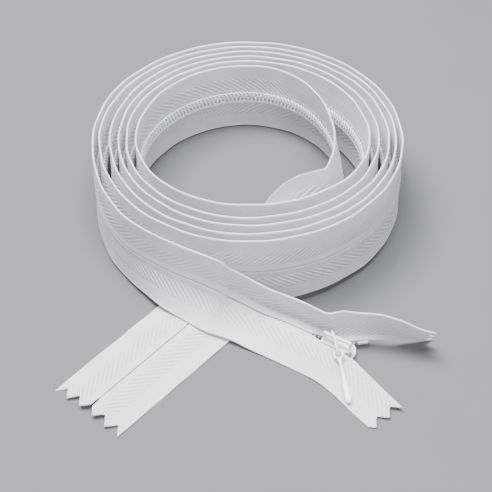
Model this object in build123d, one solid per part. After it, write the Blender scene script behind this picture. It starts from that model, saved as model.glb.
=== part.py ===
from build123d import *
import os
from math import atan2, cos, degrees, hypot, radians, sin, sqrt

# Concealed coil zipper, closed, wound into a standing ring with both ends loose.
# Millimetres, +Z up, origin on the floor under the middle of the whole part.

# Zipper section: u runs across the closed zipper from the right selvedge (0),
# n runs out of its front face, s runs along it towards the slider end.
WIDTH = 25.0
HALF = WIDTH / 2
CHAIN_HALF = 2.9
WING = HALF - CHAIN_HALF
TAPE_T = 0.4
SEAM_HALF = 0.12
COIL_NEAR = 0.1
COIL_FAR = 2.2
COIL_FRONT = -0.24
COIL_BACK = -1.55
COIL_WALL = 0.4
CORD_FIT = 0.06
THREAD_NEAR = 2.32
THREAD_FAR = 2.7
THREAD_BACK = -0.65

# Ring of standing turns: distance from the ring's middle each time the tape
# crosses the right, back, left and front directions.
RIGHT_R = (31.1, 37.0, 39.8, 42.9, 45.0, 47.0)
BACK_R = (34.0, 36.4, 38.8, 41.3, 43.7, 46.1)
LEFT_R = (34.0, 37.0, 39.3, 41.9, 45.1, 47.1)
FRONT_R = (30.7, 36.0, 39.2, 42.7, 45.7)
RING_TILT = 1.6
TILT_Y = 46.4
RING_X = 0.11
RING_Y = 23.37

# Bottom tail: right selvedge starts here, runs straight under the ring, then rises.
TAIL_X = -36.1
TAIL_Y = -93.9
TAIL_HEADING = 48.5
TAIL_RUN = 75.0
TAPE_FOOT = 0.22
TENT = 9.0
LOOP_ROLL = 79.0
ROLL_FROM = 0.22
ROLL_TO = 0.62
LOOP_CURL = 35.0

# Top tail stations after the ring: right selvedge x, y, heading and height, then
# the roll of the right wing, the chain and the left wing (0 flat, 90 upright).
TOP_STATIONS = (
    (-38.4, -31.6, -56.0, 1.0, 86.0, 88.0, 90.0),
    (-27.0, -45.8, -46.0, 2.0, 66.0, 84.0, 92.0),
    (-14.6, -56.0, -36.0, 2.5, 34.0, 68.0, 93.0),
    (-3.0, -61.0, -29.0, 1.5, 2.0, 24.0, 99.5),
    (8.0, -66.9, -31.0, 0.22, 18.0, 5.0, 101.0),
)
STRAIGHT = 8.1
SLIDER_S = 13.5
TRAVEL = 8.0
PART_HALF = 0.85

# Parted tape ends beyond the slider: splay, length of the bend, then rows of distance,
# height of the inner edge, roll of the chain zone and roll of the wing.
END_LENGTH = 32.5
END_LEFT = (39.0, 9.0, (
    (0, 3.52, 5, 101), (6, 3.5, 6, 87), (12, 3.2, 14, 94), (21, 2.2, 86, 104), (32.5, 0.4, 122, 122),
))
END_RIGHT = (-20.0, 18.0, (
    (0, 3.37, 5, 18), (6, 3.35, 5, 16.5), (14, 2.6, 5, 12.5), (21, 2.0, 5, 9.5), (32.5, 1.4, 5, 6),
))
END_STOP_S = 12.0
TOOTH = 5.0
TOOTH_DEPTH = 3.0
CHAIN_START = 9.0

# Slider (along the zipper x, across it y, out of the front face z), pull and stops.
BODY_L = 10.4
BODY_HALF = 3.4
SHOULDER = 4.6
FLANGE_IN = 2.66
FLANGE_L = 1.6
FLANGE_TOP = -0.75
PLATE_TOP = -1.95
PLATE_T = 0.8
NECK_HALF = 0.3
NECK_X = (1.6, 4.6)
FRONT_HALF = 1.8
FRONT_Z = (0.3, 0.95)
BAR_R = 0.5
BAR_Z = 3.6
BAR_X = 4.1
WIRE_R = 0.425
LOOP_R = 1.275
LOOP_L = 4.3
LINK_YAW = -49.0
LINK_DIP = 10.0
LINK_AT = -1.3
EYE_R = 1.65
EYE_HOLE = 0.85
TAB_T = 0.8
TAB_L = 15.6
TAB_NECK = 0.5
TAB_TIP = 1.15
TAB_YAW = -52.0
TAB_DIP = -1.5
STOP_L = 3.0
STOP_H = 1.3
STOP_HALF = 1.2


def left_of(heading):
    return Vector(-sin(radians(heading)), cos(radians(heading)), 0)


def ahead(heading):
    return Vector(cos(radians(heading)), sin(radians(heading)), 0)


def arc_from(x, y, heading, chord_to):
    """Arc that leaves a point on a heading and passes through another point."""
    dx = chord_to[0] - x
    dy = chord_to[1] - y
    chord = hypot(dx, dy)
    turn = 2 * ((degrees(atan2(dy, dx)) - heading + 180) % 360 - 180)
    if abs(turn) < 1e-6:
        turn = 1e-6
    radius = chord / (2 * sin(radians(turn / 2)))
    return (x, y, heading, radius, turn)


def biarc(start, end):
    """Two tangent arcs joining two places, each given as (x, y, heading)."""
    t0 = ahead(start[2])
    t1 = ahead(end[2])
    v = Vector(end[0] - start[0], end[1] - start[1], 0)
    t = t0 + t1
    a = 2 * (1 - t0.dot(t1))
    b = 2 * v.dot(t)
    c = -v.dot(v)
    if a < 1e-9:
        d = -c / b
    else:
        d = (-b + sqrt(b * b - 4 * a * c)) / (2 * a)
    mid_x = (start[0] + end[0] + d * (t0.X - t1.X)) / 2
    mid_y = (start[1] + end[1] + d * (t0.Y - t1.Y)) / 2
    first = arc_from(start[0], start[1], start[2], (mid_x, mid_y))
    second = arc_from(mid_x, mid_y, start[2] + first[4], (end[0], end[1]))
    return [first, second]


def arc_length(arc):
    return abs(arc[3] * radians(arc[4]))


def arc_place(arc, s):
    """Place (x, y, heading) a distance s along an arc."""
    x, y, heading, radius, turn = arc
    side = left_of(heading)
    now = heading + degrees(s / radius)
    out = left_of(now)
    return (x + radius * (side.X - out.X), y + radius * (side.Y - out.Y), now)


def run_place(arcs, s):
    for arc in arcs[:-1]:
        if s <= arc_length(arc):
            return arc_place(arc, s)
        s = s - arc_length(arc)
    return arc_place(arcs[-1], s)


def run_length(arcs):
    return sum(arc_length(arc) for arc in arcs)


def ease(k):
    k = min(max(k, 0), 1)
    return k * k * (3 - 2 * k)


def mix(a, b, k):
    return a + (b - a) * k


def tilted(x, y, z):
    """Point of the upright ring after the ring is tipped back about its rear foot."""
    a = radians(-RING_TILT)
    dy = y - TILT_Y
    return Vector(x, TILT_Y + dy * cos(a) - z * sin(a), dy * sin(a) + z * cos(a))


class Station:
    """One cross-section: right wing, chain zone and left wing, each flat."""

    def __init__(self, place, foot_z, rolls, in_ring=0):
        x, y, heading = place
        foot = tilted(x, y, 0)
        lean = tilted(x, y, 1) - foot
        self.along = ahead(heading)
        self.side = left_of(heading)
        self.up = Vector(0, 0, 1) * (1 - in_ring) + lean * in_ring
        self.foot = Vector(x, y, foot_z) * (1 - in_ring) + foot * in_ring
        self.rolls = rolls

    def across(self, part):
        roll = radians(self.rolls[part])
        return (self.side * cos(roll) + self.up * sin(roll)).normalized()

    def front(self, u):
        """Outward direction of the front face at u."""
        faces = [self.along.cross(self.across(part)).normalized() for part in range(3)]
        if abs(u - WING) < 1e-6:
            return (faces[0] + faces[1]).normalized()
        if abs(u - WIDTH + WING) < 1e-6:
            return (faces[1] + faces[2]).normalized()
        if u < WING:
            return faces[0]
        if u > WIDTH - WING:
            return faces[2]
        return faces[1]

    def point(self, u, n):
        first = min(u, WING)
        second = min(max(u - WING, 0), WIDTH - 2 * WING)
        third = max(u - WIDTH + WING, 0)
        place = self.foot + self.across(0) * first + self.across(1) * second + self.across(2) * third
        return place + self.front(u) * n


def seated(shape):
    return shape.moved(Location((RING_X, RING_Y, 0)))


def band(stations, u0, u1, n0, n1):
    """Solid strip through a row of stations, kinked where a wing meets the chain."""
    us = [u0] + [u for u in (WING, WIDTH - WING) if u0 + 0.01 < u < u1 - 0.01] + [u1]
    wires = []
    for st in stations:
        corners = [st.point(u, n0) for u in us] + [st.point(u, n1) for u in reversed(us)]
        wires.append(Wire.make_polygon(corners, close=True))
    return Solid.make_loft(wires, ruled=True)


def offset_edges(arcs, n):
    """Edges of an arc run moved out of the front face by n."""
    edges = []
    for x, y, heading, radius, turn in arcs:
        side = left_of(heading)
        cx = x + radius * side.X
        cy = y + radius * side.Y
        start = heading - 90 if radius > 0 else heading + 90
        edges.append(CenterArc((cx, cy), abs(radius + n), start, turn))
    return edges


def wall(arcs, u0, u1, n0, n1):
    """Upright strip along an arc run, tipped with the ring."""
    outer = offset_edges(arcs, n1)
    inner = offset_edges(arcs, n0)
    ends = [
        Line(outer[0] @ 0, inner[0] @ 0),
        Line(outer[-1] @ 1, inner[-1] @ 1),
    ]
    face = make_face(Curve() + (outer + inner + ends))
    solid = extrude(face, amount=u1 - u0).moved(Location((0, 0, u0)))
    return solid.rotate(Axis((0, TILT_Y, 0), (1, 0, 0)), -RING_TILT)


def side_range(side, near, far):
    """Range of u for something near..far from the seam on one side."""
    if side == "left":
        return (HALF + near, HALF + far)
    return (HALF - far, HALF - near)


def ring_corner(k):
    """Places where the tape crosses right, back, left and front, turn by turn."""
    turn, quarter = divmod(k, 4)
    if quarter == 0:
        return (RIGHT_R[turn], 0, 90)
    if quarter == 1:
        return (0, BACK_R[turn], 180)
    if quarter == 2:
        return (-LEFT_R[turn], 0, 270)
    return (0, -FRONT_R[turn], 360)


def ring_arcs(k0, k1):
    arcs = []
    for k in range(k0, k1):
        arcs += biarc(ring_corner(k), ring_corner(k + 1))
    return arcs


def tape_strip(stretch, side, inner=SEAM_HALF):
    return stretch(*side_range(side, inner, HALF), -TAPE_T / 2, TAPE_T / 2)


def coil_strip(stretch, side, inner=COIL_NEAR):
    outer = stretch(*side_range(side, inner, COIL_FAR), COIL_BACK, COIL_FRONT)
    bore = side_range(side, inner + COIL_WALL, COIL_FAR - COIL_WALL)
    return outer - stretch(*bore, COIL_BACK + COIL_WALL, COIL_FRONT - COIL_WALL)


def cord_strip(stretch, side):
    gap = COIL_WALL + CORD_FIT
    return stretch(*side_range(side, COIL_NEAR + gap, COIL_FAR - gap), COIL_BACK + gap, COIL_FRONT - gap)


def thread_strip(stretch, side):
    return stretch(*side_range(side, THREAD_NEAR, THREAD_FAR), THREAD_BACK, COIL_FRONT)


# Bottom tail.
TAIL_START = (TAIL_X, TAIL_Y, TAIL_HEADING)
TAIL_DIR = ahead(TAIL_HEADING)
TAIL_END = (TAIL_X + TAIL_RUN * TAIL_DIR.X, TAIL_Y + TAIL_RUN * TAIL_DIR.Y, TAIL_HEADING)


def tail_station(s):
    place = (TAIL_X + s * TAIL_DIR.X, TAIL_Y + s * TAIL_DIR.Y, TAIL_HEADING)
    return Station(place, TAPE_FOOT, (TENT, 0, -TENT))


def tail_stretch(u0, u1, n0, n1):
    return band([tail_station(0), tail_station(TAIL_RUN)], u0, u1, n0, n1)


def tail_chain(u0, u1, n0, n1):
    return band([tail_station(CHAIN_START), tail_station(TAIL_RUN)], u0, u1, n0, n1)


def notches(place, heading, side, first=0.0):
    """Upright wedges that pink an end; side is 1 to cut to the left of the heading."""
    origin = Vector(place[0], place[1], -1)
    cuts = []
    for i in range(3):
        middle = first + i * TOOTH
        mouth = [(-1.0, middle - TOOTH * 0.7), (-1.0, middle + TOOTH * 0.7), (TOOTH_DEPTH, middle)]
        corners = [origin + ahead(heading) * a + left_of(heading) * (side * b) for a, b in mouth]
        cuts.append(Solid.extrude(Face(Wire.make_polygon(corners, close=True)), Vector(0, 0, 16)))
    return cuts


def rise_stations():
    """Sections of the innermost loop as it climbs from flat to upright."""
    climb = biarc(TAIL_END, ring_corner(0))
    onward = biarc(ring_corner(0), ring_corner(1))
    length = run_length(climb)
    rest = run_length(onward)
    rows = []
    for i in range(15):
        k = i / 14
        e = ease((k - ROLL_FROM) / (ROLL_TO - ROLL_FROM))
        roll = LOOP_ROLL * e
        tent = TENT * (1 - e)
        curl = LOOP_CURL * 4 * e * (1 - e)
        foot_z = mix(TAPE_FOOT, 1.4, e)
        rolls = (roll + tent, roll, roll - tent - curl)
        rows.append(Station(run_place(climb, k * length), foot_z, rolls, e))
    for i in range(1, 8):
        k = i / 7
        roll = mix(LOOP_ROLL, 90, ease(k))
        rows.append(Station(run_place(onward, k * rest), 0, (roll, roll, roll), 1))
    return rows


def rise_stretch(u0, u1, n0, n1):
    return band(rise_stations(), u0, u1, n0, n1)


def top_stations():
    """Sections of the top tail from the ring to the straight by the slider."""
    rows = []
    place = ring_corner(22)
    before = (tilted(place[0], place[1], 0).Z, 90.0, 90.0, 90.0)
    for j, (x, y, heading, *state) in enumerate(TOP_STATIONS):
        run = biarc(place, (x, y, heading + 360))
        length = run_length(run)
        for i in range(0 if j == 0 else 1, 5):
            k = i / 4
            foot_z, *rolls = [mix(a, b, k) for a, b in zip(before, state)]
            in_ring = 1 - ease(k) if j == 0 else 0
            rows.append(Station(run_place(run, k * length), foot_z, rolls, in_ring))
        place = (x, y, heading + 360)
        before = state
    return rows


def top_stretch(u0, u1, n0, n1):
    return band(top_stations(), u0, u1, n0, n1)


# Straight by the slider: stations along it and the slider's own frame.
STRAIGHT_START = TOP_STATIONS[-1]
STRAIGHT_HEADING = STRAIGHT_START[2]
STRAIGHT_DIR = ahead(STRAIGHT_HEADING)


def straight_station(s):
    x = STRAIGHT_START[0] + s * STRAIGHT_DIR.X
    y = STRAIGHT_START[1] + s * STRAIGHT_DIR.Y
    return Station((x, y, STRAIGHT_HEADING), STRAIGHT_START[3], STRAIGHT_START[4:])


def straight_band(s0, s1, u0, u1, n0, n1):
    return band([straight_station(s0), straight_station(s1)], u0, u1, n0, n1)


def straight_stretch(u0, u1, n0, n1):
    return straight_band(0, STRAIGHT, u0, u1, n0, n1)


def bottom_core(u0, u1, n0, n1):
    return band([tail_station(CHAIN_START)] + rise_stations(), u0, u1, n0, n1)


def top_core(u0, u1, n0, n1):
    return band(top_stations() + [straight_station(STRAIGHT)], u0, u1, n0, n1)


def between(rows, s):
    """Row of values at s, read off straight lines between the rows."""
    for (s0, *low), (s1, *high) in zip(rows, rows[1:]):
        if s <= s1:
            return [mix(a, b, (s - s0) / (s1 - s0)) for a, b in zip(low, high)]
    return rows[-1][1:]


class EndStation:
    """One cross-section of a parted tape end; w runs from its inner edge outward."""

    def __init__(self, side, s):
        start = straight_station(STRAIGHT)
        sign = 1 if side == "left" else -1
        splay, bend_length, rows = END_LEFT if side == "left" else END_RIGHT
        first = start.point(HALF + sign * PART_HALF, 0)
        bend = (first.X, first.Y, STRAIGHT_HEADING, bend_length / radians(splay), splay)
        place = arc_place(bend, min(s, bend_length))
        go = ahead(place[2]) * max(s - bend_length, 0)
        inner_z, *rolls = between(rows, s)
        self.along = ahead(place[2])
        self.inner = Vector(place[0] + go.X, place[1] + go.Y, inner_z)
        side_way = left_of(place[2])
        self.ways = [(side_way * cos(radians(r)) + Vector(0, 0, sin(radians(r)))) * sign for r in rolls]
        self.sign = sign

    def out(self, w):
        faces = [self.along.cross(way * self.sign).normalized() for way in self.ways]
        kink = CHAIN_HALF - PART_HALF
        if abs(w - kink) < 1e-6:
            return (faces[0] + faces[1]).normalized()
        return faces[0] if w < kink else faces[1]

    def point(self, w, n):
        kink = CHAIN_HALF - PART_HALF
        place = self.inner + self.ways[0] * min(w, kink) + self.ways[1] * max(w - kink, 0)
        return place + self.out(w) * n


def end_band(side, s1, w0, w1, n0, n1, count=14):
    kink = CHAIN_HALF - PART_HALF
    ws = [w0] + ([kink] if w0 + 0.01 < kink < w1 - 0.01 else []) + [w1]
    wires = []
    for i in range(count):
        st = EndStation(side, s1 * i / (count - 1))
        corners = [st.point(w, n0) for w in ws] + [st.point(w, n1) for w in reversed(ws)]
        wires.append(Wire.make_polygon(corners, close=True))
    return Solid.make_loft(wires, ruled=True)


def side_notches(tip):
    """Wedges that pink a standing end, cut square through its own face."""
    cuts = []
    for i in range(3):
        w = TOOTH * (i + 0.5)
        mouth = [(1.0, w - TOOTH * 0.7), (1.0, w + TOOTH * 0.7), (-TOOTH_DEPTH, w)]
        face = tip.out(HALF)
        corners = [tip.inner + tip.along * a + tip.ways[1] * b - face * 4 for a, b in mouth]
        cuts.append(Solid.extrude(Face(Wire.make_polygon(corners, close=True)), face * 8))
    return cuts


def end_nodes():
    """Parted tapes beyond the slider, their last coil, cord and thread, and the stops."""
    made = {}
    for side in ("left", "right"):
        tape = end_band(side, END_LENGTH, 0, HALF - PART_HALF, -TAPE_T / 2, TAPE_T / 2)
        tip = EndStation(side, END_LENGTH)
        back = degrees(atan2(-tip.along.Y, -tip.along.X))
        if side == "right":
            for cut in notches((tip.inner.X, tip.inner.Y), back, 1, TOOTH / 2):
                tape = tape - cut
        else:
            for cut in side_notches(tip):
                tape = tape - cut
        made[side + "_tape_top_end"] = tape
        far = COIL_FAR - PART_HALF
        last = END_STOP_S - STOP_L / 2 - 0.1
        made[side + "_coil_top_end"] = end_band(side, last, 0, far, COIL_BACK, COIL_FRONT)
        stop = EndStation(side, END_STOP_S)
        under = -TAPE_T / 2 - STOP_H / 2 - 0.15
        face = Plane(stop.point(far / 2, under), x_dir=stop.along, z_dir=stop.out(0))
        block = Box(STOP_L, STOP_HALF * 2, STOP_H)
        made[side + "_top_stop"] = face * fillet(block.edges().filter_by(Axis.Z), 0.5)
    return made


def slider_frame():
    st = straight_station(SLIDER_S)
    return Plane(st.point(HALF, 0), x_dir=st.along, z_dir=st.front(HALF))


def nose_plate(length, tail_half, half, z0, z1, nose):
    """Plate widening from its tail to a shoulder, then to a rounded nose at +x."""
    x0 = -length / 2
    x1 = length / 2
    side = [
        (x0, tail_half - 0.5),
        (x0 + 0.5, tail_half),
        (x1 - nose * 1.5, half),
        (x1 - nose, half * 0.95),
        (x1 - nose * 0.35, half * 0.68),
        (x1, half * 0.3),
    ]
    outline = [(x, -y) for x, y in side] + [(x, y) for x, y in reversed(side)]
    plate = extrude(make_face(Polyline(*outline, close=True)), amount=z1 - z0)
    return plate.moved(Location((0, 0, z0)))


def slider_body():
    back = nose_plate(BODY_L, BODY_HALF, SHOULDER, PLATE_TOP - PLATE_T, PLATE_TOP, 2.6)
    for sign in (1, -1):
        flange = Box(FLANGE_L, BODY_HALF - FLANGE_IN, FLANGE_TOP - PLATE_TOP + 0.2)
        x = -BODY_L / 2 + 0.5 + FLANGE_L / 2
        y = sign * (BODY_HALF + FLANGE_IN) / 2
        back += Pos(x, y, (FLANGE_TOP + PLATE_TOP - 0.2) / 2) * flange
    neck_l = NECK_X[1] - NECK_X[0]
    neck = Box(neck_l, NECK_HALF * 2, FRONT_Z[0] - PLATE_TOP + 0.4)
    neck = Pos(sum(NECK_X) / 2, 0, (FRONT_Z[0] + PLATE_TOP) / 2) * neck
    front = nose_plate(BODY_L - 0.6, FRONT_HALF * 0.8, FRONT_HALF, *FRONT_Z, 2.0)
    bar = Pos(0, 0, BAR_Z) * Rot(0, 90, 0) * Cylinder(BAR_R, BAR_X * 2)
    leg_h = BAR_Z - FRONT_Z[1] + BAR_R + 0.1
    leg = Box(0.9, 1.1, leg_h)
    leg_z = FRONT_Z[1] - 0.1 + leg_h / 2
    legs = Pos(BAR_X - 0.1, 0, leg_z) * leg + Pos(-BAR_X + 0.1, 0, leg_z) * leg
    return back + neck + front + bar + legs


def link_frame(body):
    """Frame at the bar: x along the link, z in the link's own plane."""
    right = straight_station(SLIDER_S).front(0)
    anchor = body.from_local_coords(Vector(LINK_AT, 0, BAR_Z))
    level = ahead(STRAIGHT_HEADING + LINK_YAW)
    level = (level - right * level.dot(right)).normalized()
    down = level * cos(radians(LINK_DIP)) - right * sin(radians(LINK_DIP))
    side = right.cross(level)
    return Plane(anchor, x_dir=down, z_dir=down.cross(side))


def link_loop():
    """Closed wire loop in its own xz plane, its near end round the bar."""
    far = LOOP_L - 0.15
    path = Curve() + [
        Line((-0.15, LOOP_R), (far, LOOP_R)),
        CenterArc((far, 0), LOOP_R, 90, -180),
        Line((far, -LOOP_R), (-0.15, -LOOP_R)),
        CenterArc((-0.15, 0), LOOP_R, 270, -180),
    ]
    path = Plane.XZ * path
    section = Plane((-0.15, 0, LOOP_R), z_dir=(1, 0, 0)) * Circle(WIRE_R)
    return sweep(section, path=Wire(path.edges()))


def tab_frame(link):
    right = straight_station(SLIDER_S).front(0)
    eye = link.from_local_coords(Vector(LOOP_L - 0.15 + LOOP_R, 0, 0))
    level = ahead(STRAIGHT_HEADING + TAB_YAW)
    level = (level - right * level.dot(right)).normalized()
    down = level * cos(radians(TAB_DIP)) - right * sin(radians(TAB_DIP))
    side = right.cross(level)
    return Plane(eye, x_dir=down, z_dir=down.cross(side))


def pull_tab():
    eye = Circle(EYE_R)
    shaft = Polyline(
        (EYE_R * 0.7, -TAB_NECK - 0.4),
        (EYE_R + 1.2, -TAB_NECK),
        (TAB_L - 3.0, -TAB_TIP),
        (TAB_L - 0.6, -TAB_TIP * 0.8),
        (TAB_L, -TAB_TIP * 0.3),
        (TAB_L, TAB_TIP * 0.3),
        (TAB_L - 0.6, TAB_TIP * 0.8),
        (TAB_L - 3.0, TAB_TIP),
        (EYE_R + 1.2, TAB_NECK),
        (EYE_R * 0.7, TAB_NECK + 0.4),
        close=True,
    )
    outline = eye + make_face(shaft) - Circle(EYE_HOLE)
    return extrude(outline, amount=TAB_T / 2, both=True)


def bottom_stop():
    st = tail_station(CHAIN_START - STOP_L / 2 - 0.1)
    face = Plane(st.point(HALF, (COIL_BACK + COIL_FRONT) / 2), x_dir=st.along, z_dir=(0, 0, 1))
    return face * Box(STOP_L, 4.4, COIL_FRONT - COIL_BACK)


TURNS = ((1, 4), (4, 8), (8, 12), (12, 16), (16, 20), (20, 22))


def wound_strip(u0, u1, n0, n1):
    return wall(ring_arcs(TURNS[0][0], TURNS[-1][1]), u0, u1, n0, n1)


def build():
    nodes = {}
    for side in ("left", "right"):
        sign = 1 if side == "left" else -1
        seam = Vector(TAIL_X, TAIL_Y, 0) + left_of(TAIL_HEADING) * (HALF + sign * SEAM_HALF)
        tail = tape_strip(tail_stretch, side)
        for cut in notches((seam.X, seam.Y), TAIL_HEADING, sign):
            tail = tail - cut
        nodes[side + "_tape_bottom_tail"] = tail
        nodes[side + "_tape_inner_loop"] = tape_strip(rise_stretch, side)
        for turn, (k0, k1) in enumerate(TURNS, 1):
            arcs = ring_arcs(k0, k1)
            u_range = side_range(side, SEAM_HALF, HALF)
            nodes[f"{side}_tape_turn_{turn}"] = wall(arcs, *u_range, -TAPE_T / 2, TAPE_T / 2)
        nodes[side + "_tape_top_tail"] = tape_strip(top_stretch, side)
        nodes[side + "_tape_slider_run"] = tape_strip(straight_stretch, side, PART_HALF)
        nodes[side + "_coil_bottom_tail"] = coil_strip(tail_chain, side)
        nodes[side + "_coil_inner_loop"] = coil_strip(rise_stretch, side)
        nodes[side + "_coil_wound"] = coil_strip(wound_strip, side)
        nodes[side + "_coil_top_tail"] = coil_strip(top_stretch, side)
        nodes[side + "_coil_slider_run"] = coil_strip(straight_stretch, side)
        for name, core in (("bottom", bottom_core), ("wound", wound_strip), ("top", top_core)):
            nodes[f"{side}_cord_{name}"] = cord_strip(core, side)
            nodes[f"{side}_thread_{name}"] = thread_strip(core, side)
    nodes.update(end_nodes())
    body = slider_frame()
    link = link_frame(body)
    nodes["slider_body"] = body * slider_body()
    nodes["pull_link"] = link * link_loop()
    nodes["pull_tab"] = tab_frame(link) * pull_tab()
    nodes["bottom_stop"] = bottom_stop()
    return nodes


def main():
    os.makedirs("parts", exist_ok=True)
    for name, shape in build().items():
        export_step(seated(shape), f"parts/{name}.step")


if __name__ == "__main__":
    main()
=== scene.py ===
"""Concealed coil zipper, wound into a standing ring with both ends loose.

Lengths are worked out in millimetres on the zipper's own path and written in metres.
"""

import logging
from dataclasses import dataclass, field
from enum import Enum
from math import atan2, cos, degrees, hypot, pi, radians, sin, sqrt, tan
from typing import Callable, Iterable, Sequence

import bpy
import numpy as np
from mathutils import Matrix, Vector


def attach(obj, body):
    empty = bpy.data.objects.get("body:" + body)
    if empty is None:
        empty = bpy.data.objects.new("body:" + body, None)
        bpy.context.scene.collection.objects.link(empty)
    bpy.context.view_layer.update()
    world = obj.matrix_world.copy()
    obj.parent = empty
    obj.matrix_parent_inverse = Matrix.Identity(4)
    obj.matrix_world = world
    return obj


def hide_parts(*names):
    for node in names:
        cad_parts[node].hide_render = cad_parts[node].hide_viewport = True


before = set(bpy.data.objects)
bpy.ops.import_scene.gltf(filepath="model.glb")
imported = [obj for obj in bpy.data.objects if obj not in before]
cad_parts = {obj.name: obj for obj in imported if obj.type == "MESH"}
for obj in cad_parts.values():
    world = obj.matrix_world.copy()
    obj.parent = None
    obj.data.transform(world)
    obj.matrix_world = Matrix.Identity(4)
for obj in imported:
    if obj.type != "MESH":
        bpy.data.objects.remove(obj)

log = logging.getLogger("zipper")

MM = 0.001
FLOOR_GAP = 0.02
SEED = 41

# Zipper section: u runs across the closed zipper from the right selvedge.
WIDTH = 25.0
HALF = WIDTH / 2
CHAIN_HALF = 2.9
WING = HALF - CHAIN_HALF
SEAM_HALF = 0.12
PART_HALF = 0.85
KINK = 1.5

# Ring of standing turns, by the distance from its middle at each quarter.
RIGHT_R = (31.1, 37.0, 39.8, 42.9, 45.0, 47.0)
BACK_R = (34.0, 36.4, 38.8, 41.3, 43.7, 46.1)
LEFT_R = (34.0, 37.0, 39.3, 41.9, 45.1, 47.1)
FRONT_R = (30.7, 36.0, 39.2, 42.7, 45.7)
RING_QUARTERS = 22
RING_TILT = 1.6
TILT_Y = 46.4
RING_AT = (0.11, 23.37)

# Bottom tail and the loop that climbs out of it.
TAIL_START = (-36.1, -93.9, 48.5)
TAIL_RUN = 75.0
TAPE_FOOT = 0.22
TENT = 9.0
LOOP_ROLL = 79.0
ROLL_FROM = 0.22
ROLL_TO = 0.62
LOOP_CURL = 35.0
CHAIN_START = 9.0

# Top tail: right selvedge x, y, heading, height, rolls of right wing, chain, left wing.
TOP_STATIONS = (
    (-38.4, -31.6, -56.0, 1.0, 86.0, 88.0, 90.0),
    (-27.0, -45.8, -46.0, 2.0, 66.0, 84.0, 92.0),
    (-14.6, -56.0, -36.0, 2.5, 34.0, 68.0, 93.0),
    (-3.0, -61.0, -29.0, 1.5, 2.0, 24.0, 99.5),
    (8.0, -66.9, -31.0, 0.22, 18.0, 5.0, 101.0),
)
STRAIGHT = 8.1
SLIDER_S = 13.5

# Parted tape ends: length, place of the top stop, run over which the seam opens.
END_LENGTH = 32.5
END_STOP_S = 12.0
PART_RUN = 3.5


class Side(Enum):
    """The two halves of the zipper, seen from its front with the slider ahead."""

    LEFT = 1
    RIGHT = -1

    @property
    def word(self) -> str:
        """Name used in piece names."""
        return self.name.lower()


# Parted tape ends: splay and length of the bend, then rows of distance, height of
# the inner edge, roll of the chain zone and roll of the wing.
PARTED = {
    Side.LEFT: (
        39.0,
        9.0,
        ((0, 3.52, 5, 101), (6, 3.5, 6, 87), (12, 3.2, 14, 94), (21, 2.2, 86, 104), (32.5, 0.4, 122, 122)),
    ),
    Side.RIGHT: (
        -20.0,
        18.0,
        ((0, 3.37, 5, 18), (6, 3.35, 5, 16.5), (14, 2.6, 5, 12.5), (21, 2.0, 5, 9.5), (32.5, 1.4, 5, 6)),
    ),
}


def ease(k: np.ndarray) -> np.ndarray:
    """Smooth step from 0 to 1.

    Args:
        k: Share of the way, clipped to 0 and 1.
    Returns:
        The eased share.
    """
    k = np.clip(k, 0.0, 1.0)
    return k * k * (3 - 2 * k)


def unit(v: np.ndarray) -> np.ndarray:
    """Vectors scaled to length one along the last axis."""
    return v / np.linalg.norm(v, axis=-1, keepdims=True)


def ahead(heading: np.ndarray) -> np.ndarray:
    """Level direction of a heading in degrees."""
    a = np.radians(heading)
    return np.stack([np.cos(a), np.sin(a), np.zeros_like(a)], axis=-1)


def left_of(heading: np.ndarray) -> np.ndarray:
    """Level direction to the left of a heading in degrees."""
    return ahead(np.asarray(heading, float) + 90)


def tilted(x: np.ndarray, y: np.ndarray, z: np.ndarray) -> np.ndarray:
    """Points of the upright ring after it leans back about its rear foot.

    Args:
        x: Place across.
        y: Place back.
        z: Height.
    Returns:
        The leaned points.
    """
    a = radians(-RING_TILT)
    dy = y - TILT_Y
    return np.stack([x, TILT_Y + dy * cos(a) - z * sin(a), dy * sin(a) + z * cos(a)], axis=-1)


def gentle(s: np.ndarray, knots: Sequence[float], values: Sequence[float]) -> np.ndarray:
    """Cubic through knots that never overshoots them.

    Args:
        s: Places to read.
        knots: Rising knot places.
        values: Value at each knot.
    Returns:
        The values at s.
    """
    x, y = np.asarray(knots, float), np.asarray(values, float)
    h, d = np.diff(x), np.diff(y) / np.diff(x)
    m = np.zeros_like(y)
    same = d[:-1] * d[1:] > 0
    inner = np.zeros(len(d) - 1)
    inner[same] = 2 * d[:-1][same] * d[1:][same] / (d[:-1][same] + d[1:][same])
    m[1:-1] = inner
    i = np.clip(np.searchsorted(x, s) - 1, 0, len(h) - 1)
    t = np.clip((s - x[i]) / h[i], 0, 1)
    a, b = (1 + 2 * t) * (1 - t) ** 2, t * (1 - t) ** 2
    c, e = t * t * (3 - 2 * t), t * t * (t - 1)
    return a * y[i] + b * h[i] * m[i] + c * y[i + 1] + e * h[i] * m[i + 1]


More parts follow.
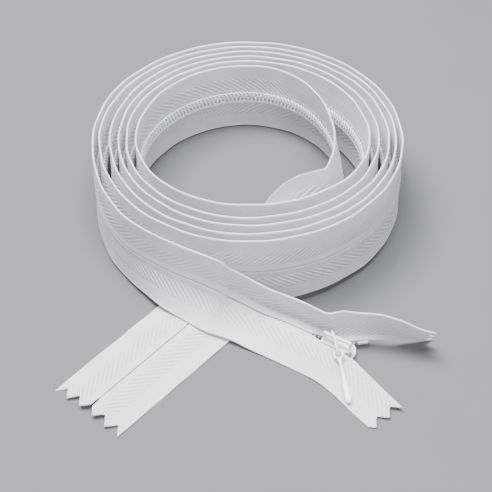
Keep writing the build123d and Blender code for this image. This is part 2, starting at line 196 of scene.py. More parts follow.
@dataclass(frozen=True)
class Arc:
    """A circular piece of the zipper's plan."""

    x: float
    y: float
    heading: float
    radius: float
    turn: float

    @classmethod
    def through(cls, x: float, y: float, heading: float, end: tuple[float, float]) -> "Arc":
        """Arc that leaves a point on a heading and passes through another point.

        Args:
            x: Start across.
            y: Start back.
            heading: Start heading in degrees.
            end: Point to pass through.
        Returns:
            The arc.
        """
        dx, dy = end[0] - x, end[1] - y
        turn = 2 * ((degrees(atan2(dy, dx)) - heading + 180) % 360 - 180)
        turn = turn if abs(turn) > 1e-6 else 1e-6
        return cls(x, y, heading, hypot(dx, dy) / (2 * sin(radians(turn / 2))), turn)

    @property
    def length(self) -> float:
        """Length along the arc."""
        return abs(self.radius * radians(self.turn))

    def place(self, s: np.ndarray) -> np.ndarray:
        """Rows of x, y and heading a distance along the arc."""
        now = self.heading + np.degrees(s / self.radius)
        side, out = left_of(self.heading), left_of(now)
        x = self.x + self.radius * (side[..., 0] - out[..., 0])
        y = self.y + self.radius * (side[..., 1] - out[..., 1])
        return np.stack([x, y, now], axis=-1)


def biarc(start: tuple, end: tuple) -> list[Arc]:
    """Two tangent arcs joining two places, each given as x, y and heading."""
    t0, t1 = ahead(start[2]), ahead(end[2])
    v = np.array([end[0] - start[0], end[1] - start[1], 0.0])
    a, b, c = 2 * (1 - t0 @ t1), 2 * v @ (t0 + t1), -v @ v
    d = -c / b if a < 1e-9 else (-b + sqrt(b * b - 4 * a * c)) / (2 * a)
    mid = [(end[i] + start[i] + d * (t0[i] - t1[i])) / 2 for i in (0, 1)]
    first = Arc.through(start[0], start[1], start[2], (mid[0], mid[1]))
    return [first, Arc.through(mid[0], mid[1], start[2] + first.turn, (end[0], end[1]))]


def ring_corner(k: int) -> tuple[float, float, float]:
    """Place where the zipper crosses right, back, left or front of the ring."""
    turn, quarter = divmod(k, 4)
    return (
        (RIGHT_R[turn], 0.0, 90.0),
        (0.0, BACK_R[turn], 180.0),
        (-LEFT_R[turn], 0.0, 270.0),
        (0.0, -FRONT_R[min(turn, len(FRONT_R) - 1)], 360.0),
    )[quarter]


@dataclass
class ZipperPath:
    """The lie of the whole zipper, from the bottom end to the top end.

    A point has a distance s along the zipper, a distance d from the seam on one
    side, and a height n out of the front face.
    """

    arcs: list[Arc] = field(default_factory=list)
    starts: list[float] = field(default_factory=list)
    knots: list[float] = field(default_factory=list)
    closed: float = 0.0
    total: float = 0.0

    def __post_init__(self) -> None:
        """Joins the tail, the ring, the top tail and the straight by the slider."""
        x, y, heading = TAIL_START
        go = ahead(heading) * TAIL_RUN
        tail_end = (x + go[0], y + go[1], heading)
        climb = biarc(tail_end, ring_corner(0))
        self.arcs = [Arc.through(x, y, heading, tail_end[:2])] + climb
        self.quarter_s = TAIL_RUN + sum(a.length for a in climb)
        for k in range(RING_QUARTERS):
            self.arcs += biarc(ring_corner(k), ring_corner(k + 1))
            if k == 0:
                self.ring_s = sum(a.length for a in self.arcs)
        place = ring_corner(RING_QUARTERS)
        self.knots = [sum(a.length for a in self.arcs)]
        for station in TOP_STATIONS:
            after = (station[0], station[1], station[2] + 360)
            self.arcs += biarc(place, after)
            self.knots.append(sum(a.length for a in self.arcs))
            place = after
        self.closed = self.knots[-1] + STRAIGHT
        self.total = self.closed + END_LENGTH
        self.starts = list(np.cumsum([0.0] + [a.length for a in self.arcs[:-1]]))

    def places(self, s: np.ndarray) -> np.ndarray:
        """Rows of x, y and heading of the right selvedge at s."""
        out = np.zeros(s.shape + (3,))
        which = np.clip(np.searchsorted(self.starts, s, side="right") - 1, 0, None)
        for i, arc in enumerate(self.arcs):
            here = which == i
            out[here] = arc.place(s[here] - self.starts[i])
        past = s > self.knots[-1]
        x, y, heading = TOP_STATIONS[-1][:3]
        over = (s[past] - self.knots[-1])[:, None]
        out[past] = np.array([x, y, heading]) + over * ahead(heading)
        return out

    def state(self, s: np.ndarray) -> np.ndarray:
        """Rows of foot height, three rolls and share of the ring's lean at s."""
        out = np.zeros(s.shape + (5,))
        k = np.clip((s - TAIL_RUN) / (self.quarter_s - TAIL_RUN), 0, 1)
        e = ease((k - ROLL_FROM) / (ROLL_TO - ROLL_FROM))
        roll, tent, curl = LOOP_ROLL * e, TENT * (1 - e), LOOP_CURL * 4 * e * (1 - e)
        foot = TAPE_FOOT + (1.4 - TAPE_FOOT) * e
        low = np.stack([foot, roll + tent, roll, roll - tent - curl, e], axis=-1)
        up = LOOP_ROLL + (90 - LOOP_ROLL) * ease((s - self.quarter_s) / (self.ring_s - self.quarter_s))
        one, nought = np.ones_like(s), np.zeros_like(s)
        ring = np.stack([nought, up, up, up, one], axis=-1)
        end = ring_corner(RING_QUARTERS)
        foot_end = float(tilted(np.array(end[0]), np.array(end[1]), np.array(0.0))[2])
        rows = [(foot_end, 90.0, 90.0, 90.0)] + [station[3:] for station in TOP_STATIONS]
        top = [gentle(s, self.knots, [row[i] for row in rows]) for i in range(4)]
        lean = 1 - ease((s - self.knots[0]) / (self.knots[1] - self.knots[0]))
        high = np.stack(top + [lean], axis=-1)
        out = np.where((s < self.quarter_s)[:, None], low, ring)
        return np.where((s > self.knots[0])[:, None], high, out)

    def closed_points(self, s: np.ndarray, u: np.ndarray) -> tuple[np.ndarray, np.ndarray]:
        """Points and front normals of the closed zipper's middle surface.

        Args:
            s: Distances along, one per point.
            u: Distances from the right selvedge, one per point.
        Returns:
            Points and unit normals, one row each.
        """
        place, state = self.places(s), self.state(s)
        x, y, heading = place[:, 0], place[:, 1], place[:, 2]
        nought = np.zeros_like(x)
        base = tilted(x, y, nought)
        lean = tilted(x, y, nought + 1) - base
        share = state[:, 4:5]
        up = np.array([0, 0, 1.0]) * (1 - share) + lean * share
        flat = np.stack([x, y, state[:, 0]], axis=-1)
        foot = flat * (1 - share) + base * share
        side, along = left_of(heading), ahead(heading)
        steps = np.linspace(0, 1, 57)
        grid = u[:, None] * steps
        roll = state[:, 1:2] + (state[:, 2:3] - state[:, 1:2]) * ease((grid - WING + KINK) / (2 * KINK))
        far = WIDTH - WING
        roll = roll + (state[:, 3:4] - state[:, 2:3]) * ease((grid - far + KINK) / (2 * KINK))
        roll = np.radians(roll)
        step = u[:, None] / (len(steps) - 1)
        weight = np.ones(len(steps))
        weight[[0, -1]] = 0.5
        reach = np.sum(np.cos(roll) * weight, axis=1, keepdims=True) * step
        rise = np.sum(np.sin(roll) * weight, axis=1, keepdims=True) * step
        points = foot + side * reach + up * rise
        across = side * np.cos(roll[:, -1:]) + up * np.sin(roll[:, -1:])
        return points, unit(np.cross(along, across))

    def parted_points(self, side: Side, s: np.ndarray, d: np.ndarray) -> tuple[np.ndarray, np.ndarray]:
        """Points and front normals of one parted tape end.

        Args:
            side: Which half of the zipper.
            s: Distances along, one per point.
            d: Distances from the seam, one per point.
        Returns:
            Points and unit normals, one row each.
        """
        splay, length, rows = PARTED[side]
        sign = side.value
        start = self.closed_points(np.array([self.closed]), np.array([HALF + sign * PART_HALF]))[0][0]
        heading = TOP_STATIONS[-1][2]
        bend = Arc(start[0], start[1], heading, length / radians(splay), splay)
        t = s - self.closed
        place = bend.place(np.minimum(t, length))
        place[:, :2] += ahead(place[:, 2])[:, :2] * np.maximum(t - length, 0)[:, None]
        knots = [row[0] for row in rows]
        inner_z, near, far = (gentle(t, knots, [row[i] for row in rows]) for i in (1, 2, 3))
        inner_z = inner_z + (start[2] - rows[0][1]) * (1 - t / END_LENGTH)
        w = np.maximum(d - PART_HALF, 0)
        steps = np.linspace(0, 1, 25)
        share = ease((w[:, None] * steps - (CHAIN_HALF - PART_HALF) + KINK) / (2 * KINK))
        roll = np.radians(near[:, None] * (1 - share) + far[:, None] * share)[:, :, None]
        level = left_of(place[:, 2])[:, None]
        way = (level * np.cos(roll) + np.array([0, 0, 1.0]) * np.sin(roll)) * sign
        weight = np.ones(len(steps))
        weight[[0, -1]] = 0.5
        spread = np.sum(way * weight[None, :, None], axis=1) * (w / (len(steps) - 1))[:, None]
        points = np.stack([place[:, 0], place[:, 1], inner_z], axis=-1) + spread
        points += way[:, 0] * np.minimum(d - PART_HALF, 0)[:, None]
        return points, unit(np.cross(ahead(place[:, 2]), way[:, -1] * sign))

    def points(self, side: Side, s: np.ndarray, d: np.ndarray, n: np.ndarray) -> np.ndarray:
        """Points at s along, d from the seam and n out of the front, in metres.

        Args:
            side: Which half of the zipper.
            s: Distances along in millimetres.
            d: Distances from the seam.
            n: Heights out of the front face.
        Returns:
            One row per point in the row frame, in metres.
        """
        shape = np.broadcast(s, d, n).shape
        s, d, n = (np.broadcast_to(a, shape).astype(float).ravel() for a in (s, d, n))
        out = np.zeros((s.size, 3))
        shut = s <= self.closed
        if shut.any():
            p, normal = self.closed_points(s[shut], HALF + side.value * d[shut])
            out[shut] = p + normal * n[shut, None]
        if not shut.all():
            p, normal = self.parted_points(side, s[~shut], d[~shut])
            out[~shut] = p + normal * n[~shut, None]
        out[:, 0] += RING_AT[0]
        out[:, 1] += RING_AT[1]
        out[:, 2] = np.maximum(out[:, 2], FLOOR_GAP)
        return out.reshape(shape + (3,)) * MM

    def edge(self, s: np.ndarray) -> np.ndarray:
        """Distance of a tape's inner edge from the seam at s."""
        part = ease((s - self.closed) / PART_RUN + 1)
        slit = ease(1 - s / CHAIN_START)
        return SEAM_HALF + (PART_HALF - SEAM_HALF) * part + 0.22 * slit


class Sock:
    """A shader value that can be used in sums."""

    def __init__(self, graph: "Graph", socket: bpy.types.NodeSocket) -> None:
        """Holds a socket and the graph that it belongs to."""
        self.graph = graph
        self.socket = socket

    def __add__(self, other: "Sock | float") -> "Sock":
        """Sum."""
        return self.graph.math("ADD", self, other)

    def __sub__(self, other: "Sock | float") -> "Sock":
        """Difference."""
        return self.graph.math("SUBTRACT", self, other)

    def __mul__(self, other: "Sock | float") -> "Sock":
        """Product."""
        return self.graph.math("MULTIPLY", self, other)

    def __truediv__(self, other: "Sock | float") -> "Sock":
        """Quotient."""
        return self.graph.math("DIVIDE", self, other)

    def __rsub__(self, other: float) -> "Sock":
        """Difference from a number."""
        return self.graph.math("SUBTRACT", other, self)

    __radd__ = __add__
    __rmul__ = __mul__

    def wave(self, pitch: float) -> "Sock":
        """Sine of the value with the given pitch."""
        return self.graph.math("SINE", self * (2 * pi / pitch))

    def size(self) -> "Sock":
        """Absolute value."""
        return self.graph.math("ABSOLUTE", self)

    def step(self, low: float, high: float) -> "Sock":
        """Smooth step of the value between two marks."""
        node = self.graph.node(
            "ShaderNodeMapRange",
            {"interpolation_type": "SMOOTHSTEP"},
            {"Value": self, "From Min": low, "From Max": high, "To Min": 0.0, "To Max": 1.0},
        )
        return Sock(self.graph, node.outputs["Result"])


class Graph:
    """Node tree of one finish."""

    def __init__(self, name: str) -> None:
        """Starts a material with an empty tree."""
        self.material = bpy.data.materials.new(name)
        self.material.use_nodes = True
        self.tree = self.material.node_tree
        self.tree.nodes.clear()

    def node(self, kind: str, settings: dict, inputs: dict) -> bpy.types.Node:
        """Adds a node, sets it up and fills its sockets.

        Args:
            kind: Node type.
            settings: Properties, set first.
            inputs: Values or links by socket name or number.
        Returns:
            The node.
        """
        made = self.tree.nodes.new(kind)
        for key, value in settings.items():
            setattr(made, key, value)
        for key, value in inputs.items():
            socket = made.inputs[key]
            if isinstance(value, Sock):
                self.tree.links.new(value.socket, socket)
            else:
                socket.default_value = value
        return made

    def math(self, operation: str, a: "Sock | float", b: "Sock | float" = 0.0) -> Sock:
        """Adds a Math node."""
        made = self.node("ShaderNodeMath", {"operation": operation}, {0: a, 1: b})
        return Sock(self, made.outputs[0])

    def weave_axes(self) -> tuple[Sock, Sock]:
        """Distance from the seam and distance along, in millimetres, from the UV map."""
        coords = self.node("ShaderNodeUVMap", {"uv_map": "weave"}, {})
        split = self.node("ShaderNodeSeparateXYZ", {}, {0: Sock(self, coords.outputs[0])})
        return Sock(self, split.outputs[0]), Sock(self, split.outputs[1])

    def place(self) -> Sock:
        """Object coordinates."""
        return Sock(self, self.node("ShaderNodeTexCoord", {}, {}).outputs["Object"])

    def noise(self, vector: Sock, scale: float, detail: float = 2.0) -> Sock:
        """Soft noise from 0 to 1."""
        inputs = {"Vector": vector, "Scale": scale, "Detail": detail, "Roughness": 0.55}
        return Sock(self, self.node("ShaderNodeTexNoise", {}, inputs).outputs[0])

    def blend(self, share: Sock, a: tuple, b: tuple) -> Sock:
        """Mix of two colours."""
        made = self.node(
            "ShaderNodeMix",
            {"data_type": "RGBA"},
            {0: share, 6: (*a, 1.0), 7: (*b, 1.0)},
        )
        return Sock(self, made.outputs[2])

    def bump(self, height: Sock, depth: float) -> Sock:
        """Normal from a height of 0 to 1 that stands depth metres high."""
        made = self.node("ShaderNodeBump", {}, {"Height": height, "Distance": depth, "Strength": 1.0})
        return Sock(self, made.outputs[0])

    def finish(self, inputs: dict, glow: float = 0.0) -> bpy.types.Material:
        """Ends the tree in a Principled shader and returns the material.

        Args:
            inputs: Values or links of the shader's sockets.
            glow: Share of light that passes through thin cloth.
        Returns:
            The material.
        """
        shader = self.node("ShaderNodeBsdfPrincipled", {}, inputs)
        if glow:
            thin = self.node("ShaderNodeBsdfTranslucent", {}, {"Color": inputs["Base Color"]})
            mixed = self.node("ShaderNodeMixShader", {}, {0: glow})
            self.tree.links.new(shader.outputs[0], mixed.inputs[1])
            self.tree.links.new(thin.outputs[0], mixed.inputs[2])
            shader = mixed
        out = self.tree.nodes.new("ShaderNodeOutputMaterial")
        self.tree.links.new(shader.outputs[0], out.inputs["Surface"])
        return self.material


@dataclass(frozen=True)
class WovenTape:
    """Polyester tape: plain outer band, herringbone band, satin fold by the seam."""

    light: tuple = (0.95, 0.94, 0.965)
    shade: tuple = (0.60, 0.59, 0.63)
    thread: float = 0.52
    stroke: float = 2.0
    stroke_angle: float = 37.0
    band: tuple = (2.5, 7.6)
    needle: float = 2.05
    needle_at: float = 2.55
    glow: float = 0.3

    def material(self) -> bpy.types.Material:
        """Builds the material."""
        g = Graph("woven_tape")
        across, along = g.weave_axes()
        d = across.size()
        patch = g.noise(g.place(), 160.0, 3.0)
        in_band = d.step(self.band[0], self.band[0] + 0.5) * (1 - d.step(self.band[1] - 0.6, self.band[1]))
        slant = along - d * (1 / tan(radians(self.stroke_angle))) + patch * 0.5
        stroke = (slant.wave(self.stroke) * 0.5 + 0.5) * in_band
        fine = across.wave(self.thread) * along.wave(self.thread * 0.9)
        ribs = across.wave(0.62) * d.step(7.4, 8.0)
        edge = d.step(11.75, 12.0)
        plain = (fine * 0.13 + ribs * 0.10) * (1 - in_band * 0.6)
        holes = self.holes(g, d, along)
        height = plain + stroke * 1.3 + edge * along.wave(0.9) * 0.16 - holes * 0.8
        # Painted light: the herringbone strokes are lightened as a painted sheen on the raised floats, and the whole
        # herringbone band is darkened as painted shade.
        # Painted shade: the fine weave and the ribs add painted relief shading that follows their bump, and the
        # needle holes are darkened as painted shade in them; only the patch noise is random tone.
        tone = stroke * 0.5 + 0.6 - in_band * 0.25 + plain * 0.8 + (patch - 0.5) * 0.3 - holes * 0.45
        # Painted light: the selvedge is lightened to stand in for light glowing through the thin edge of the cloth.
        tone = tone + edge * 0.3
        colour = g.blend(tone.step(0.0, 1.0), self.shade, self.light)
        rough = 0.66 - stroke * 0.18
        return g.finish(
            {
                "Base Color": colour,
                "Roughness": rough,
                "Normal": g.bump(height, 0.16 * MM),
                "Sheen Weight": 0.25,
                "Sheen Roughness": 0.4,
                "Specular IOR Level": 0.35,
            },
            self.glow,
        )

    def holes(self, g: Graph, d: Sock, along: Sock) -> Sock:
        """Needle marks in a row by the coil's stitching: dents in the bump, and painted shade in the colour."""
        row = 1 - (d - self.needle_at).size().step(0.08, 0.26)
        beat = (along.wave(self.needle)).step(0.72, 0.97)
        return row * beat


@dataclass(frozen=True)
class Nylon:
    """Drawn monofilament of the coil."""

    name: str = "coil_nylon"
    clear: tuple = (0.90, 0.90, 0.92)
    cloud: tuple = (0.78, 0.78, 0.82)
    roughness: float = 0.34

    def material(self) -> bpy.types.Material:
        """Builds the material."""
        g = Graph(self.name)
        place = g.place()
        cloud = g.noise(place, 420.0, 3.0)
        scuff = g.noise(place, 2600.0, 2.0)
        return g.finish(
            {
                "Base Color": g.blend(cloud, self.cloud, self.clear),
                "Roughness": scuff * 0.22 + self.roughness - 0.1,
                "Normal": g.bump(scuff, 0.02 * MM),
                "Specular IOR Level": 0.5,
            }
        )


@dataclass(frozen=True)
class TwistedYarn:
    """Spun thread with its plies laid round its length, read from the UV map."""

    name: str = "yarn"
    light: tuple = (0.89, 0.89, 0.91)
    shade: tuple = (0.62, 0.62, 0.66)
    lay: float = 0.9
    plies: float = 3.0

    def material(self) -> bpy.types.Material:
        """Builds the material."""
        g = Graph(self.name)
        around, along = g.weave_axes()
        ply = (around * self.plies + along / self.lay).wave(1.0) * 0.5 + 0.5
        fuzz = g.noise(g.place(), 5200.0, 2.0)
        return g.finish(
            {
                # Painted shade: the grooves between the plies are darkened and the ridges lightened, following the
                # same ply relief as the bump; the fuzz noise is random tone.
                "Base Color": g.blend(ply * 0.8 + fuzz * 0.2, self.shade, self.light),
                "Roughness": 0.75 - ply * 0.1,
                "Normal": g.bump(ply * 0.8 + fuzz * 0.2, 0.05 * MM),
                "Sheen Weight": 0.2,
            }
        )


@dataclass(frozen=True)
class Enamel:
    """Baked white paint over a zinc casting."""

    name: str = "white_enamel"
    coat: tuple = (0.86, 0.86, 0.88)
    thin: tuple = (0.74, 0.74, 0.77)
    roughness: float = 0.24

    def material(self) -> bpy.types.Material:
        """Builds the material."""
        g = Graph(self.name)
        place = g.place()
        cloud = g.noise(place, 700.0, 3.0)
        peel = g.noise(place, 3200.0, 1.0)
        return g.finish(
            {
                "Base Color": g.blend(cloud.step(0.25, 0.75), self.thin, self.coat),
                "Roughness": peel * 0.16 + self.roughness,
                "Normal": g.bump(peel, 0.03 * MM),
                "Coat Weight": 0.35,
                "Coat Roughness": 0.18,
            }
        )


def new_mesh(name: str, points: np.ndarray, faces: np.ndarray, uv: np.ndarray) -> bpy.types.Object:
    """Mesh object from points, four-sided faces and one UV row per face corner.

    Args:
        name: Piece name.
        points: Vertices in metres.
        faces: Vertex numbers, four to a face.
        uv: UV rows in millimetres, four to a face.
    Returns:
        The object, linked to the scene.
    """
    mesh = bpy.data.meshes.new(name)
    mesh.from_pydata(points.tolist(), [], faces.tolist())
    layer = mesh.uv_layers.new(name="weave")
    layer.data.foreach_set("uv", uv.astype(np.float32).ravel())
    mesh.polygons.foreach_set("use_smooth", [True] * len(mesh.polygons))
    mesh.update()
    obj = bpy.data.objects.new(name, mesh)
    bpy.context.scene.collection.objects.link(obj)
    return obj


def tube(
    name: str, paths: Iterable[np.ndarray], radius: float, sides: int, flat: float = 1.0
) -> bpy.types.Object:
    """Round tubes with closed ends along rows of points.

    Args:
        name: Piece name.
        paths: Centrelines in metres.
        radius: Radius in millimetres.
        sides: Sides of the section.
        flat: Height of the section over its width.
    Returns:
        One object holding all the tubes.
    """
    points, faces, uvs, base = [], [], [], 0
    angles = np.arange(sides) * 2 * pi / sides
    for path in paths:
        count = len(path)
        t = unit(np.gradient(path, axis=0))
        rail = np.zeros_like(t)
        side = np.cross(t[0], (0.31, 0.17, 0.93))
        for i in range(count):
            side = side - t[i] * (side @ t[i])
            side = side / sqrt(side @ side)
            rail[i] = side
        other = np.cross(t, rail)
        ring = rail[:, None] * np.cos(angles)[None, :, None]
        ring = ring + other[:, None] * np.sin(angles)[None, :, None] * flat
        points.append((path[:, None] + ring * radius * MM).reshape(-1, 3))
        run = np.concatenate([[0], np.cumsum(np.linalg.norm(np.diff(path, axis=0), axis=1))]) / MM
        i, j = np.meshgrid(np.arange(count - 1), np.arange(sides), indexing="ij")
        k = (j + 1) % sides
        quad = np.stack([i * sides + j, i * sides + k, (i + 1) * sides + k, (i + 1) * sides + j], axis=-1)
        faces.append(quad.reshape(-1, 4) + base)
        a, b = j / sides, (j + 1) / sides
        uv = np.stack([a, run[i], b, run[i], b, run[i + 1], a, run[i + 1]], axis=-1)
        uvs.append(uv.reshape(-1, 2))
        base += count * sides
    obj = new_mesh(name, np.concatenate(points), np.concatenate(faces), np.concatenate(uvs))
    close_ends(obj)
    return obj


def close_ends(obj: bpy.types.Object) -> None:
    """Fills the open ends of tubes with flat faces."""
    only(obj)
    bpy.ops.object.mode_set(mode="EDIT")
    bpy.ops.mesh.select_mode(type="EDGE")
    bpy.ops.mesh.select_all(action="DESELECT")
    bpy.ops.mesh.select_non_manifold()
    bpy.ops.mesh.fill_holes(sides=0)
    bpy.ops.mesh.select_all(action="SELECT")
    bpy.ops.mesh.normals_make_consistent(inside=False)
    bpy.ops.object.mode_set(mode="OBJECT")


def only(obj: bpy.types.Object) -> None:
    """Leaves just one object selected and active."""
    bpy.ops.object.select_all(action="DESELECT")
    obj.select_set(True)
    bpy.context.view_layer.objects.active = obj


def dress(
    obj: bpy.types.Object, material: bpy.types.Material, body: str, nodes: Sequence[str]
) -> None:
    """Gives a piece its finish and tells the frame what it rides on and replaces.

    Args:
        obj: The piece.
        material: Its finish.
        body: Body that it moves with.
        nodes: CAD nodes that it stands for.
    """
    obj.data.materials.clear()
    obj.data.materials.append(material)
    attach(obj, body)
    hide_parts(*nodes)
    log.info("%s: %d faces on %s", obj.name, len(obj.data.polygons), body)


@dataclass
class Tape:
    """One woven tape, a single strip from pinked end to pinked end."""

    path: ZipperPath
    side: Side
    thickness: float = 0.4
    row: float = 1.8
    end_row: float = 0.55
    end_reach: float = 7.0
    tooth: float = 5.0
    tooth_depth: float = 3.0
    fray: float = 0.16
    ripple: float = 0.13
    fold: float = 0.16

    def columns(self) -> np.ndarray:
        """Distances from the seam of the lengthwise rows of points."""
        inner = [SEAM_HALF, 0.2, 0.36, 0.62]
        middle = list(np.arange(1.25, 11.9, 0.625))
        return np.array(inner + middle + [12.05, 12.25, 12.42, HALF])

    def rows(self) -> np.ndarray:
        """Distances along of the crosswise rows, closer near both ends."""
        total = self.path.total
        first = np.arange(0, self.end_reach, self.end_row)
        last = total - first[::-1]
        count = int((total - 2 * self.end_reach) / self.row)
        return np.concatenate([first, np.linspace(self.end_reach, total - self.end_reach, count), last])

    def zigzag(self, d: np.ndarray, shift: float) -> np.ndarray:
        """Depth of the pinked cut at d; shift moves the valleys by half a tooth."""
        phase = ((d / self.tooth + shift) % 1.0) * 2
        return self.tooth_depth * np.abs(1 - phase)

    def half_height(self, d: np.ndarray, edge: np.ndarray) -> tuple[np.ndarray, np.ndarray]:
        """Height of the front and back faces from the middle surface."""
        base = self.thickness / 2
        fold = self.fold * (1 - ease((d - 0.5) / 1.6))
        bead = 0.08 * ease((d - 11.7) / 0.4)
        near = np.clip((d - edge) / 0.3, 0, 1)
        far = np.clip((HALF - d) / 0.28, 0, 1)
        ends = np.sqrt(1 - (1 - near) ** 2) * np.sqrt(1 - (1 - far) ** 2)
        return (base + fold + bead) * ends, -(base + bead) * ends

    def build(self) -> bpy.types.Object:
        """Builds the strip as one closed thin solid."""
        rng = np.random.default_rng(SEED + self.side.value)
        cols, s = self.columns(), self.rows()
        d = np.broadcast_to(cols, (len(s), len(cols)))
        edge = self.path.edge(s)[:, None]
        squeeze = (edge - SEAM_HALF) * np.clip(1 - (d - SEAM_HALF) / 2.4, 0, 1)
        d = d + squeeze
        jitter = rng.uniform(-self.fray, self.fray, (2, len(cols)))
        low = np.clip(1 - s / self.end_reach, 0, 1)[:, None]
        high = np.clip(1 - (self.path.total - s) / self.end_reach, 0, 1)[:, None]
        run = s[:, None] + low * (self.zigzag(d, 0.0) + jitter[0])
        run = run - high * (self.zigzag(d - PART_HALF, 0.5) + jitter[1])
        wave = self.waves(rng, run) * ease((d - 6.0) / 6.5)
        front, back = self.half_height(d, edge)
        top = self.path.points(self.side, run, d, front + wave)
        bottom = self.path.points(self.side, run, d, back + wave)
        return self.skin(top, bottom, d, run)

    def waves(self, rng: np.random.Generator, run: np.ndarray) -> np.ndarray:
        """Slow ripples of the loose selvedge."""
        total = np.zeros_like(run)
        for pitch in (13.0, 21.0, 34.0):
            total += np.sin(run * 2 * pi / pitch + rng.uniform(0, 2 * pi))
        return total * self.ripple / 2

    def skin(self, top: np.ndarray, bottom: np.ndarray, d: np.ndarray, run: np.ndarray) -> bpy.types.Object:
        """Joins the two faces round both long edges and over both ends."""
        rows, cols = d.shape
        under = list(range(cols - 2, 0, -1))
        loop = np.concatenate([top, bottom[:, under]], axis=1)
        loop_d = np.concatenate([d, d[:, under]], axis=1) * self.side.value
        loop_s = np.concatenate([run, run[:, under]], axis=1)
        width = loop.shape[1]
        i, j = np.meshgrid(np.arange(rows - 1), np.arange(width), indexing="ij")
        k = (j + 1) % width
        corners = [(i, j), (i + 1, j), (i + 1, k), (i, k)]
        faces = [np.stack([a * width + b for a, b in corners], axis=-1).reshape(-1, 4)]
        uvs = [np.stack([v[a, b] for a, b in corners for v in (loop_d, loop_s)], axis=-1).reshape(-1, 2)]
        for r in (0, rows - 1):
            a = np.arange(cols - 1)
            b = a + 1
            ring = np.stack([a, b, (width - b) % width, (width - a) % width], axis=-1)
            ring[b == cols - 1, 2] = cols - 1
            if r:
                ring = ring[:, ::-1]
            ring = ring[[len(set(q.tolist())) == 4 for q in ring]]
            faces.append(ring + r * width)
            uvs.append(np.stack([loop_d[r][ring], loop_s[r][ring]], axis=-1).reshape(-1, 2))
        name = self.side.word + "_tape"
        obj = new_mesh(name, loop.reshape(-1, 3), np.concatenate(faces), np.concatenate(uvs))
        close_ends(obj)
        return obj

    def dressed(self, material: bpy.types.Material) -> bpy.types.Object:
        """Builds the strip, dresses it and says what it is."""
        obj = self.build()
        parts = ["bottom_tail", "inner_loop"] + [f"turn_{i}" for i in range(1, 7)]
        parts += ["top_tail", "slider_run", "top_end"]
        nodes = [f"{self.side.word}_tape_{part}" for part in parts]
        dress(obj, material, "tape_assembly", nodes)
        return obj


@dataclass
class Coil:
    """Moulded coil of one side, its filler cord and its stitching."""

    path: ZipperPath
    side: Side
    pitch: float = 1.3
    wire: float = 0.3
    near: float = -0.02
    far: float = 1.94
    front: float = -0.52
    back: float = -1.27
    points_per_turn: int = 12

    def start(self) -> float:
        """First tooth; the two sides are half a pitch apart so that the heads mesh."""
        return CHAIN_START + 0.4 + (self.pitch / 2 if self.side is Side.LEFT else 0.0)

    def end(self) -> float:
        """End of the coil, at the top stop."""
        return self.path.closed + END_STOP_S - 1.7

    def shift(self, s: np.ndarray) -> np.ndarray:
        """Outward move of the coil where the slider parts it."""
        part = ease((s - self.path.closed) / PART_RUN + 1)
        return (PART_HALF - 0.1) * part

    def build(self) -> bpy.types.Object:
        """Winds the coil."""
        turns = int((self.end() - self.start()) / self.pitch)
        k = np.arange(turns * self.points_per_turn + 1) / self.points_per_turn
        turn, share = np.floor(k), k % 1.0
        angle = 2 * pi * share
        across, depth = np.cos(angle), np.sin(angle)
        across = np.sign(across) * np.abs(across) ** 0.75
        depth = np.sign(depth) * np.abs(depth) ** 0.75
        late = np.where(share > 0.5, share - 1.0, share)
        s = self.start() + self.pitch * (turn + (share > 0.5) + ease((late + 0.2) / 0.4) - 0.5)
        d = (self.near + self.far) / 2 + across * (self.far - self.near) / 2 + self.shift(s)
        n = (self.front + self.back) / 2 + depth * (self.front - self.back) / 2
        line = self.path.points(self.side, s, d, n)
        return tube(self.side.word + "_coil", [line], self.wire, 5)

    def filler(self) -> bpy.types.Object:
        """Filler cord inside the coil."""
        s = np.arange(self.start(), self.end(), 2.2)
        d = (self.near + self.far) / 2 + 0.12 + self.shift(s)
        n = np.full_like(s, (self.front + self.back) / 2)
        return tube(self.side.word + "_filler_cord", [self.path.points(self.side, s, d, n)], 0.19, 6)

    def stitching(self) -> bpy.types.Object:
        """Two rows of chain stitch: one over the coil, one at its foot."""
        s = np.arange(self.start(), self.end(), self.pitch / 4)
        beat = 2 * pi * (s - self.start()) / self.pitch
        d = 1.05 + self.shift(s) + 0.1 * np.sin(beat * 0.5)
        over = self.path.points(self.side, s, d, -1.5 - 0.09 * np.cos(beat))
        s = np.arange(self.start(), self.end(), self.pitch / 3)
        beat = 2 * pi * (s - self.start()) / (2 * self.pitch)
        foot = self.path.points(self.side, s, 2.5 + 0.12 * np.sin(beat), -0.29 - 0.11 * np.cos(beat))
        return tube(self.side.word + "_stitching", [over, foot], 0.1, 4)

    def dressed(self, nylon: bpy.types.Material, cord: bpy.types.Material, yarn: bpy.types.Material) -> None:
        """Builds the coil, cord and stitching and dresses them."""
        word = self.side.word
        runs = ("bottom_tail", "inner_loop", "wound", "top_tail", "slider_run", "top_end")
        dress(self.build(), nylon, "tape_assembly", [f"{word}_coil_{run}" for run in runs])
        thirds = ("bottom", "wound", "top")
        dress(self.filler(), cord, "tape_assembly", [f"{word}_cord_{run}" for run in thirds])
        dress(self.stitching(), yarn, "tape_assembly", [f"{word}_thread_{run}" for run in thirds])


